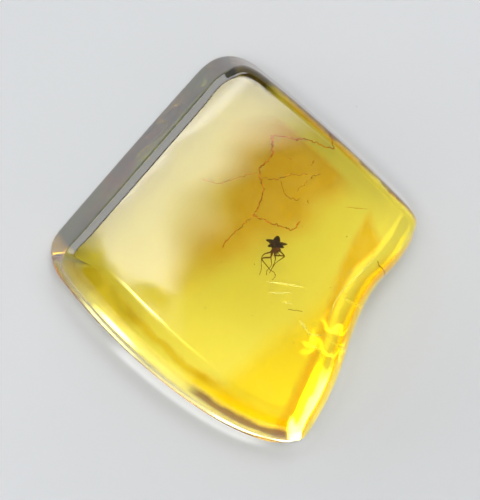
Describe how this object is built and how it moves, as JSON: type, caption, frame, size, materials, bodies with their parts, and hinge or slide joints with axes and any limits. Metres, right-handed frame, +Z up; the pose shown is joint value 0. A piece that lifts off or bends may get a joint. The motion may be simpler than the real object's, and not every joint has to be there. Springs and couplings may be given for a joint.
{
  "type": "insect in amber",
  "caption": "Polished tablet of clear golden amber with a domed face and ground edges, holding a small fossil fly; lies flat on its base",
  "frame": {"origin": "middle of the outline's box, on the flat base that the stone lies on", "axes": "+Z up out of the domed face, +Y towards the top corner of the four-sided outline, +X towards the right corner"},
  "size_m": [0.0312, 0.0332, 0.009],
  "materials": {
    "amber_resin": "polished clear golden resin, IOR 1.54",
    "insect_chitin": "dark brown fossil chitin, legs red-brown",
    "crack_stain": "iron-stained hairline cracks inside the resin",
    "insect_wing": "thin smoky wing film with darker veins",
    "flow_veil": "faint pale flow layers and healed cracks inside the resin"
  },
  "bodies": {
    "root": {"amber": "amber_resin"}
  },
  "joints": []
}
